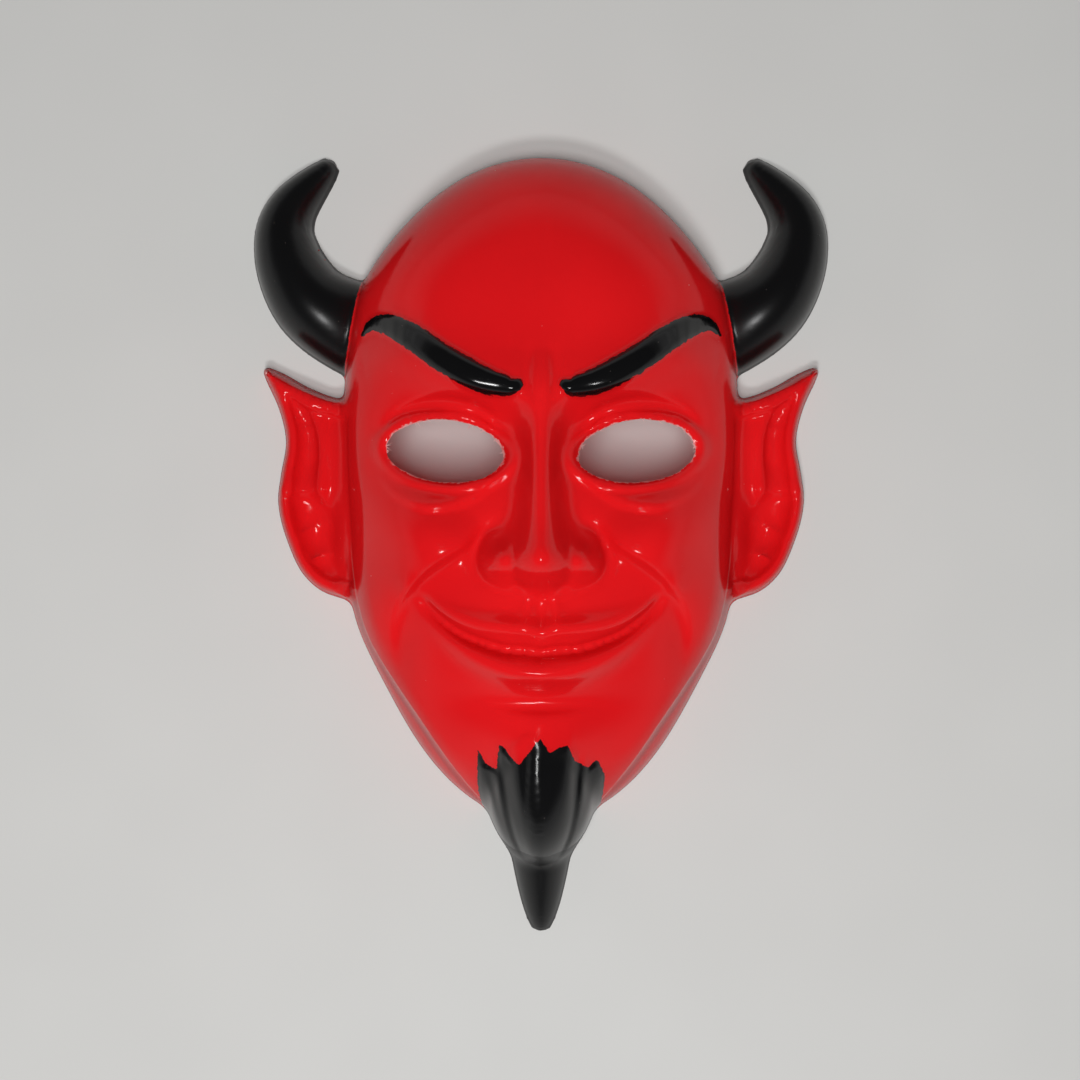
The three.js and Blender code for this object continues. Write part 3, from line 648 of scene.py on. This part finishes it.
def eye_knife(side, sizes):
    """A closed block that cuts one eye hole."""
    bm = bmesh.new()
    ring = ops.create_circle(bm, cap_ends=True, segments=150, radius=1.0)["verts"]
    points = corners(bm)
    turn = np.arctan2(points[:, 1], points[:, 0])
    radius = cut_radius(turn + side, sizes)
    half, high = EYE.half * radius, EYE.high * radius
    move_corners(bm, np.column_stack([half * np.cos(turn), high * np.sin(turn), 0 * turn]))
    ops.rotate(bm, verts=ring, cent=(0, 0, 0), matrix=Matrix.Rotation(EYE.turn * side, 3, "Z"))
    ops.translate(bm, verts=ring, vec=(EYE.x * side, EYE.y, -2 * SKIRT))
    draw_up(bm, 2 * DEPTH)
    ops.recalc_face_normals(bm, faces=bm.faces[:])
    return linked("knife", bm)


def trimmed_skin(form, sizes):
    """The form's surface alone: eye holes cut, and everything below the rim trimmed away."""
    for side in (1, -1):
        knife = eye_knife(side, sizes)
        with_modifier(form, "BOOLEAN", operation="DIFFERENCE", solver="MANIFOLD", object=knife)
        bpy.data.objects.remove(knife)
    bm = bmesh.new()
    bm.from_mesh(form.data)
    bpy.data.objects.remove(form)
    ops.bisect_plane(bm, geom=bm.verts[:] + bm.edges[:] + bm.faces[:], plane_co=(0, 0, 0),
                     plane_no=(0, 0, 1), clear_inner=True)
    middles = np.array([face.calc_center_median() for face in bm.faces])
    upright = np.array([abs(face.normal.z) for face in bm.faces]) < FLAT
    walls = upright & (eye_radius(middles[:, 0], middles[:, 1]) < 1 + 2 * sizes["ragged"] / EYE.high)
    ops.delete(bm, geom=[face for face, wall in zip(bm.faces, walls) if wall], context="FACES")
    ops.remove_doubles(bm, verts=bm.verts[:], dist=WELD)
    ops.recalc_face_normals(bm, faces=bm.faces[:])
    if max(bm.faces, key=lambda face: face.calc_center_median().z).normal.z < 0:
        ops.reverse_faces(bm, faces=bm.faces[:])
    return bm


OUTSIDE, INSIDE, CUT = 0, 1, 2  # which of its materials a face has


def thickened(bm, sizes):
    """Gives the skin its thickness, inwards, with a flat rim at the back. The faces get their materials."""
    bm.normal_update()
    outer = bm.faces[:]
    rim = {corner for edge in bm.edges if edge.is_boundary for corner in edge.verts if corner.co.z < FLAT}
    inward = {}
    _, direction = mask_distance(corners(bm), sizes)
    for corner, way in zip(bm.verts, direction):
        way = Vector((way[0], way[1], 0 if corner in rim else way[2]))
        inward[tuple(corner.co)] = way.normalized() * -sizes["sheet"]
    copied = ops.extrude_face_region(bm, geom=outer, use_keep_orig=True)["geom"]
    for item in copied:
        if isinstance(item, bmesh.types.BMVert):
            item.co += inward[tuple(item.co)]
            item.co.z = max(item.co.z, 0)
    inner = {item for item in copied if isinstance(item, bmesh.types.BMFace)}
    for face in bm.faces:
        face.material_index = INSIDE if face in inner else CUT
    for face in outer:
        face.material_index = OUTSIDE
    ops.recalc_face_normals(bm, faces=bm.faces[:])


def lighter_inside(sheet, sizes):
    """Fewer faces inside, where the sheet is plainer."""
    group = sheet.vertex_groups.new(name="inside")
    inside, others = set(), set()
    for face in sheet.data.polygons:
        (inside if face.material_index == INSIDE else others).update(face.vertices)
    group.add(sorted(inside - others), 1.0, "REPLACE")
    faces = sheet.data.polygons
    kept = 1 - INSIDE_CUT * sum(face.material_index == INSIDE for face in faces) / len(faces)
    with_modifier(sheet, "DECIMATE", ratio=kept, vertex_group="inside")
    sheet.vertex_groups.clear()


FAR = 20.0  # a distance for what is nowhere near, in millimetres


def marked(sheet):
    """Smooth faces, with a crisp edge where the material changes, and distances for the paint and for the
    painted shade and painted highlight along the jaw crease.
    """
    bm = bmesh.new()
    bm.from_mesh(sheet.data)
    for face in bm.faces:
        face.smooth = True
    for edge in bm.edges:
        edge.smooth = len({face.material_index for face in edge.link_faces}) == 1
    points = corners(bm)
    bm.to_mesh(sheet.data)
    bm.free()
    x, y, z = points.T
    head, horn, ear, tuft, tail = (form_distance(form, x, y, z, 0)[0] for form, _ in FORMS)
    below = np.where(y < BEARD_SIDE[0][1], np.minimum(tuft, tail) - head, BEARD_AWAY)
    distances = {
        "brow": brow_distance(x, y),
        "horn": horn - np.minimum(head, ear),
        "beard": np.minimum(beard_distance(x, y), below),
        "eye": (eye_radius(x, y) - 1) * EYE.high,
        "crease": np.where(horn - head > 0, nearest_on(CREASE_PATH, np.abs(x), y)[0], FAR),
    }
    for name, values in distances.items():
        attribute = sheet.data.attributes.new(name, "FLOAT", "POINT")
        attribute.data.foreach_set("value", np.clip(values, -FAR, FAR).astype(np.float32))


# Materials
def math_operator(operation, swapped=False):
    """An operator of a Value, which adds this Math node."""
    def result(value, other):
        return value.finish.math(operation, *((other, value) if swapped else (value, other)))
    return result


class Value:
    """A number that changes over a surface. Its operators add Math nodes to the finish."""

    def __init__(self, finish, socket):
        self.finish = finish
        self.socket = socket

    __add__ = __radd__ = math_operator("ADD")
    __sub__ = math_operator("SUBTRACT")
    __rsub__ = math_operator("SUBTRACT", swapped=True)
    __mul__ = __rmul__ = math_operator("MULTIPLY")
    __lt__ = math_operator("LESS_THAN")
    __or__ = math_operator("MAXIMUM")


class Finish:
    """A material, built node by node. Sizes of its patterns are in millimetres."""

    def __init__(self, name):
        self.material = bpy.data.materials.new(name)
        self.material.use_nodes = True
        self.tree = self.material.node_tree
        self.tree.nodes.clear()
        self.place = self.node("TexCoord").outputs["Object"]

    def node(self, kind, settings=None, sockets=None):
        node = self.tree.nodes.new("ShaderNode" + kind)
        for name, value in (settings or {}).items():
            setattr(node, name, value)
        for key, value in (sockets or {}).items():
            value = getattr(value, "socket", value)
            if isinstance(value, bpy.types.NodeSocket):
                self.tree.links.new(value, node.inputs[key])
            else:
                node.inputs[key].default_value = value
        return node

    def math(self, operation, *values):
        node = self.node("Math", {"operation": operation}, dict(enumerate(values)))
        return Value(self, node.outputs[0])

    def attribute(self, name):
        return Value(self, self.node("Attribute", {"attribute_name": name}).outputs["Fac"])

    def along(self, axis):
        """Distance from the origin along one axis, in millimetres."""
        split = self.node("SeparateXYZ", sockets={"Vector": self.place})
        return Value(self, split.outputs[axis]) * (1 / MM)

    def from_middle(self):
        """Distance from the origin, in millimetres."""
        length = self.node("VectorMath", {"operation": "LENGTH"}, {0: self.place})
        return Value(self, length.outputs["Value"]) * (1 / MM)

    def rise(self, value, low, high):
        """Runs smoothly from 0 to 1 as the value goes from low to high."""
        node = self.node("MapRange", {"interpolation_type": "SMOOTHSTEP"},
                         {"Value": value, "From Min": low, "From Max": high})
        return Value(self, node.outputs["Result"])

    def noise(self, size, detail=2.0):
        """Soft random variation around 0."""
        node = self.node("TexNoise", sockets={
            "Vector": self.place, "Scale": 1 / (size * MM), "Detail": detail})
        return Value(self, node.outputs["Fac"]) - 0.5

    def dots(self, size, radius, share, core=0.4):
        """Round dots: 1 in the core of each. Only this share of the cells has one."""
        node = self.node("TexVoronoi", sockets={"Vector": self.place, "Scale": 1 / (size * MM)})
        split = self.node("SeparateColor", sockets={"Color": node.outputs["Color"]})
        shown = Value(self, split.outputs["Red"]) < share
        outer = self.rise(Value(self, node.outputs["Distance"]), radius * core / size, radius / size)
        return (1 - outer) * shown

    def mixed(self, factor, first, second):
        """A colour between two others."""
        node = self.node("Mix", {"data_type": "RGBA"}, {0: factor, 6: first, 7: second})
        return node.outputs[2]

    def done(self, colour, roughness, height=None, clear=None, **others):
        """Ends the material. Its fine relief is in millimetres. Clear is the share of light let through."""
        if height is not None:
            bump = self.node("Bump", sockets={"Height": height, "Distance": MM, "Strength": 1.0})
            others["Normal"] = bump.outputs["Normal"]
        shader = self.node("BsdfPrincipled", sockets={
            "Base Color": colour, "Roughness": roughness, **others})
        if clear is not None:
            through = self.node("BsdfTranslucent", sockets={"Color": colour})
            shader = self.node("MixShader", sockets={
                0: clear, 1: shader.outputs["BSDF"], 2: through.outputs["BSDF"]})
        self.node("OutputMaterial", sockets={"Surface": shader.outputs[0]})
        return self.material


def painted_sheet(colours):
    """The outside: gloss red sheet, with black paint on the horns, brows and goatee, painted shade along the
    foot of the rim and beside the jaw crease, and a painted highlight along the crease.
    """
    finish = Finish("painted_sheet")
    noise, dots, rise, mixed = finish.noise, finish.dots, finish.rise, finish.mixed
    brow, horn, beard, eye = (finish.attribute(name) for name in ("brow", "horn", "beard", "eye"))
    wander, hair = noise(2.6), noise(0.7, 1.0)
    brow_paint = 1 - rise(brow + 1.6 * wander + 0.3 * hair, -0.12, 0.12)
    beard_paint = 1 - rise(beard + 1.2 * wander + 0.4 * hair, -0.12, 0.12)
    horn_edge = horn + 1.6 * noise(4.0) + 0.6 * hair
    mist = dots(0.8, 0.26, 0.4) * (1 - rise(horn_edge, 0.0, 2.0))
    horn_paint = (1 - rise(horn_edge, -0.3, 0.35)) | mist
    black = brow_paint | beard_paint | horn_paint

    depth = rise(noise(46.0, 1.0), -0.25, 0.25)
    red = mixed(depth, colours.red, colours.deep_red)
    # Painted shade: the red darkens over the lowest two millimetres above the table, where the rim meets it.
    edge = 1 - rise(finish.along("Z") + 1.5 * wander, 0.5, 1.9)
    red = mixed(edge * 0.6, red, colours.painted_shade_red)
    dust = dots(5.5, 0.16, 0.35) * 0.55 | dots(9.0, 0.34, 0.16) * 0.6
    red = mixed(dust, red, colours.dust)
    beside, below = finish.attribute("crease") + 0.4 * wander, 1 - rise(finish.along("Y"), -14.0, 4.0)
    # Painted shade: a dark band in the valley just outside the jaw crease, below the ears.
    valley = (1 - rise(finish.math("ABSOLUTE", beside - 1.7), 0.5, 1.8)) * below
    red = mixed(valley * 0.3, red, colours.painted_shade_red)
    # Painted highlight: a broken pale line along the crest of the jaw crease, below the ears.
    crease = (1 - rise(finish.math("ABSOLUTE", beside), 0.1, 0.5)) * below
    crease = crease * rise(noise(5.0), -0.5, 0.1)
    red = mixed(crease * 0.3, red, colours.stress_white_and_highlight)
    stress = 1 - rise(eye + 1.6 * noise(1.6), -0.1, 0.4)
    red = mixed(stress * 0.8, red, colours.stress_white_and_highlight)
    dusty_black = mixed(dots(3.4, 0.14, 0.5) * 0.35, colours.black, colours.dust)
    colour = mixed(black, red, dusty_black)

    roughness = colours.gloss + 0.08 * noise(14.0, 1.0) + 0.17 * horn_paint
    roughness = roughness + 0.1 * beard_paint + 0.3 * stress
    skin = 0.012 * noise(3.2, 1.0) + 0.004 * noise(0.9, 1.0)
    pimples = 0.05 * dots(7.5, 0.5, 0.4)
    return finish.done(colour, roughness, skin + pimples, (1 - black) * colours.clear, IOR=1.4)


def bare_sheet(colours):
    """The inside: the same red sheet, unpainted, a little duller than its front."""
    finish = Finish("bare_sheet")
    depth = finish.rise(finish.noise(30.0), -0.3, 0.3)
    red = finish.mixed(depth, colours.red, colours.deep_red)
    colour = finish.mixed(finish.dots(4.0, 0.2, 0.3) * 0.4, red, colours.dust)
    roughness = colours.gloss + 0.14 + 0.1 * finish.noise(9.0)
    return finish.done(colour, roughness, 0.03 * finish.noise(2.4), colours.clear)


def cut_edge(colours, name="cut_edge"):
    """Where the knife went: plastic gone pale and rough."""
    finish = Finish(name)
    pale = finish.rise(finish.noise(1.6), -0.4, 0.0)
    colour = finish.mixed(pale, colours.red, colours.stress_white_and_highlight)
    return finish.done(colour, 0.55 + 0.2 * finish.noise(0.8), 0.08 * finish.noise(0.5, 3.0))


TABLE_FADE = (300.0, 2600.0)  # distances from the mask between which the table turns as bright as the walls


def table_paint(table):
    """The table: plain pale paint. Far from the lamps it glows, so that it runs into the walls."""
    finish = Finish("table_paint")
    mottled = finish.rise(finish.noise(60.0, 1.0), -0.4, 0.4)
    shade = tuple(0.97 * part for part in table.colour[:3]) + (1.0,)
    colour = finish.mixed(mottled, table.colour, shade)
    far = finish.rise(finish.from_middle(), *TABLE_FADE)
    glow = finish.mixed(far, (0, 0, 0, 1), (table.walls, table.walls, table.walls, 1))
    finish.material.cycles.emission_sampling = "NONE"
    return finish.done(colour, 0.6, **{"Emission Color": glow, "Emission Strength": 1.0})


# Burrs: slivers of plastic that the knife left on the edges of the eye holes
BURRS = 18  # on each hole
BURR_PLACES = (-0.2, 0.3, 1.2, 2.2, 2.6)  # angles round the hole, from its outer corner, where most are
BURR_LENGTHS = (0.9, 2.4)
BURR_HALF = 0.26  # half a sliver's thickness at its root


def surface_height(x, y):
    """Height of the face over the rim at one place."""
    x, y = np.array([x]), np.array([y])
    plain = DEPTH * np.sqrt(np.maximum(1 - girth(x, y) ** FLATNESS, 0))
    return float((plain + relief(x, y, 0))[0])


def burr_slivers(sizes):
    """All the slivers in one mesh, in millimetres."""
    bm = bmesh.new()
    chance = np.random.default_rng(11)
    for side in (1, -1):
        for _ in range(BURRS):
            turn = chance.choice(BURR_PLACES) + chance.normal(0, 0.3)
            turn = turn if side > 0 else pi - turn
            radius = cut_radius(turn + side, sizes) - 0.008
            spot = Matrix.Rotation(EYE.turn * side, 3, "Z") @ Vector((
                EYE.half * radius * cos(turn), EYE.high * radius * sin(turn), 0))
            x, y = EYE.x * side + spot.x, EYE.y + spot.y
            length = chance.uniform(*BURR_LENGTHS)
            cone = ops.create_cone(bm, cap_ends=True, segments=6, radius1=BURR_HALF, radius2=0.04,
                                   depth=length)["verts"]
            ops.scale(bm, verts=cone, vec=(1.0, 0.45, 1.0))
            lean = Matrix.Rotation(radians(chance.uniform(50, 100)), 3, "Y")
            heading = Matrix.Rotation(turn + pi + chance.uniform(-1.4, 1.4), 3, "Z")
            ops.translate(bm, verts=cone, vec=(0, 0, length * 0.4))
            ops.rotate(bm, verts=cone, cent=(0, 0, 0), matrix=heading @ lean)
            ops.translate(bm, verts=cone, vec=(x, y, surface_height(x, y) - chance.uniform(0.1, 0.8)))
    ops.recalc_face_normals(bm, faces=bm.faces[:])
    return bm


def placed(piece, materials):
    """Puts a finished piece, made in millimetres, on the packed body that carries it."""
    piece.data.transform(Matrix.Scale(MM, 4))
    for material in materials:
        piece.data.materials.append(material)
    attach(piece, "root")


def number(name, description, default, **others):
    return FloatProperty(name=name, description=description, default=default, **others)


class SheetSizes(bpy.types.PropertyGroup):
    """Sizes of the formed sheet."""

    sheet: number("Sheet", "Thickness of the plastic", 1.2 * MM, unit="LENGTH")
    mesh: number("Mesh", "Width of the mesh's faces", 1.2 * MM, unit="LENGTH")
    flare: number("Flare", "How far the rim turns out", 0.7 * MM, unit="LENGTH")
    flare_high: number("Flare height", "Height over which the rim turns out", 1.5 * MM, unit="LENGTH")
    beard: number("Goatee edge", "How far the goatee's jagged edge stands up", 1.5 * MM, unit="LENGTH")
    ragged: number("Ragged cut", "How far the cuts round the eyes wander", 0.3 * MM, unit="LENGTH")

    def in_millimetres(self):
        return {name: getattr(self, name) / MM for name in self.__annotations__}


def colour_property(name, description, default):
    return FloatVectorProperty(name=name, description=description, subtype="COLOR", size=4, min=0, max=1,
                               default=default + (1.0,))


class SheetColours(bpy.types.PropertyGroup):
    """Colours and gloss of the plastic and its paint."""

    red: colour_property("Red", "Colour of the sheet", (0.94, 0.014, 0.018))
    deep_red: colour_property("Deep red", "Colour where the sheet is a little thicker", (0.86, 0.011, 0.015))
    # Painted shade: the dark red laid along the foot of the rim and in the valley beside the jaw crease.
    painted_shade_red: colour_property("Edge red", "Colour along the trimmed rim", (0.22, 0.003, 0.005))
    black: colour_property("Black", "Colour of the paint", (0.0035, 0.0035, 0.0038))
    # Round the eye holes this is the real whitening of cut plastic; along the jaw crease it is a painted
    # highlight.
    stress_white_and_highlight: colour_property("White", "Colour of plastic that a knife has bent", (0.86, 0.62, 0.60))
    dust: colour_property("Dust", "Colour of dust", (0.75, 0.60, 0.56))
    gloss: number("Gloss", "Roughness of the sheet's front", 0.13, min=0, max=1)
    clear: number("Clear", "Share of the light that passes through the sheet's faces", 0.4, subtype="FACTOR")


class TableSettings(bpy.types.PropertyGroup):
    """The table, the lamps over it and the camera."""

    colour: colour_property("Table", "Colour of the table", (0.582, 0.579, 0.564))
    soft: number("Soft lamp", "Power of the lamp over the mask", 15.6, unit="POWER")
    bright: number("Bright lamp", "Power of the small lamp beyond the chin", 5.0, unit="POWER")
    walls: number("Walls", "Brightness of the room's walls", 0.5)
    ceiling: number("Ceiling", "Brightness of the room's ceiling", 0.05)
    share: number("Share", "Share of the picture's width that the mask takes up", 0.528, subtype="FACTOR")
    lens: number("Lens", "The camera's focal length", 66, unit="CAMERA")


class FORMED_MASK_OT_sheet(bpy.types.Operator):
    """Form the sheet, cut its eye holes, trim it and paint it"""

    bl_idname = "formed_mask.sheet"
    bl_label = "Form the sheet"

    def execute(self, context):
        sizes = context.scene.mask_sizes.in_millimetres()
        skin = trimmed_skin(smooth_form(sizes), sizes)
        thickened(skin, sizes)
        sheet = linked("formed_sheet", skin)
        lighter_inside(sheet, sizes)
        marked(sheet)
        colours = context.scene.mask_colours
        placed(sheet, [painted_sheet(colours), bare_sheet(colours), cut_edge(colours)])
        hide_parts(SHELL)
        size, wanted = sheet.dimensions, BOX_HIGH - BOX_LOW
        if any(abs(size[k] - wanted[k]) > 0.03 * wanted[k] for k in range(3)):
            raise RuntimeError(f"the formed sheet is {size[:]} metres, and the packed one {wanted[:]}")
        return {"FINISHED"}


class FORMED_MASK_OT_burrs(bpy.types.Operator):
    """Add the slivers that the knife left round the eye holes"""

    bl_idname = "formed_mask.burrs"
    bl_label = "Add the burrs"

    def execute(self, context):
        burrs = linked("eye_hole_burrs", burr_slivers(context.scene.mask_sizes.in_millimetres()))
        placed(burrs, [cut_edge(context.scene.mask_colours, "burr_edge")])
        return {"FINISHED"}


def lamp(name, place, size, power):
    """A lamp that shines at the mask. Its size is across and along."""
    light = bpy.data.lights.new(name, "AREA")
    light.shape = "RECTANGLE"
    light.size, light.size_y = size
    light.energy = power
    holder = bpy.data.objects.new(name, light)
    holder.location = place
    holder.rotation_euler = (-Vector(place)).to_track_quat("-Z", "Y").to_euler()
    bpy.context.scene.collection.objects.link(holder)
    return holder


def room(table):
    """Soft light from all round: bright walls under a dim ceiling."""
    world = bpy.data.worlds.new("room")
    world.use_nodes = True
    nodes, links = world.node_tree.nodes, world.node_tree.links
    split = nodes.new("ShaderNodeSeparateXYZ")
    links.new(nodes.new("ShaderNodeTexCoord").outputs["Generated"], split.inputs["Vector"])
    fall = nodes.new("ShaderNodeMapRange")
    fall.interpolation_type = "SMOOTHSTEP"
    for name, value in {"From Min": WALL_TOP[0], "From Max": WALL_TOP[1],
                        "To Min": table.walls, "To Max": table.ceiling}.items():
        fall.inputs[name].default_value = value
    links.new(split.outputs["Z"], fall.inputs["Value"])
    links.new(fall.outputs["Result"], nodes["Background"].inputs["Strength"])
    nodes["Background"].inputs["Color"].default_value = (1, 1, 1, 1)
    return world


WALL_TOP = (0.05, 0.5)  # sines of the angles over the table between which walls give way to ceiling
SOFT_LAMP = (-0.06, -0.22, 1.5), (0.5, 0.5)  # place, and size across and along, in metres
BRIGHT_LAMP = (-0.08, -0.52, 1.15), (0.26, 0.12)
TABLE_HALF = 3.0  # metres
TABLE_GAP = 0.05  # between the rim and the table, so that their faces don't meet
SENSOR = 36.0  # width of the camera's sensor
PICTURE_MIDDLE = (-0.4, 1.9)  # place on the table in the middle of the picture


class FORMED_MASK_OT_stage(bpy.types.Operator):
    """Set the table, the lamps and the camera"""

    bl_idname = "formed_mask.stage"
    bl_label = "Set the stage"

    def execute(self, context):
        table = context.scene.mask_table
        bm = bmesh.new()
        ops.create_grid(bm, x_segments=1, y_segments=1, size=TABLE_HALF)
        ops.translate(bm, verts=bm.verts[:], vec=(0, 0, BOX_LOW.z - TABLE_GAP * MM))
        top = linked("table_top", bm)
        top.data.materials.append(table_paint(table))

        context.scene.world = room(table)
        lamp("soft_lamp", *SOFT_LAMP, table.soft).visible_glossy = False
        lamp("bright_lamp", *BRIGHT_LAMP, table.bright)

        camera = bpy.data.cameras.new("camera")
        camera.sensor_width = SENSOR
        camera.lens = table.lens
        holder = bpy.data.objects.new("camera", camera)
        across = (BOX_HIGH.x - BOX_LOW.x) / table.share
        holder.location = (PICTURE_MIDDLE[0] * MM, PICTURE_MIDDLE[1] * MM, across * table.lens / SENSOR)
        context.scene.collection.objects.link(holder)
        context.scene.camera = holder
        context.scene.view_settings.view_transform = "Standard"
        return {"FINISHED"}


class FORMED_MASK_PT_panel(bpy.types.Panel):
    """Steps and settings for the mask."""

    bl_label = "Formed mask"
    bl_idname = "FORMED_MASK_PT_panel"
    bl_space_type = "VIEW_3D"
    bl_region_type = "UI"
    bl_category = "Mask"

    def draw(self, context):
        scene = context.scene
        steps = ((FORMED_MASK_OT_sheet, scene.mask_sizes), (FORMED_MASK_OT_burrs, scene.mask_colours),
                 (FORMED_MASK_OT_stage, scene.mask_table))
        for operator, settings in steps:
            column = self.layout.column()
            for name in settings.__annotations__:
                column.prop(settings, name)
            column.operator(operator.bl_idname)


GROUPS = {"mask_sizes": SheetSizes, "mask_colours": SheetColours, "mask_table": TableSettings}
CLASSES = (*GROUPS.values(), FORMED_MASK_OT_sheet, FORMED_MASK_OT_burrs, FORMED_MASK_OT_stage,
           FORMED_MASK_PT_panel)


def register():
    for cls in CLASSES:
        bpy.utils.register_class(cls)
    for name, group in GROUPS.items():
        setattr(bpy.types.Scene, name, PointerProperty(type=group))


def unregister():
    for name in GROUPS:
        delattr(bpy.types.Scene, name)
    for cls in reversed(CLASSES):
        bpy.utils.unregister_class(cls)


def main():
    register()
    bpy.ops.formed_mask.sheet()
    bpy.ops.formed_mask.burrs()
    bpy.ops.formed_mask.stage()


if __name__ == "__main__":
    main()
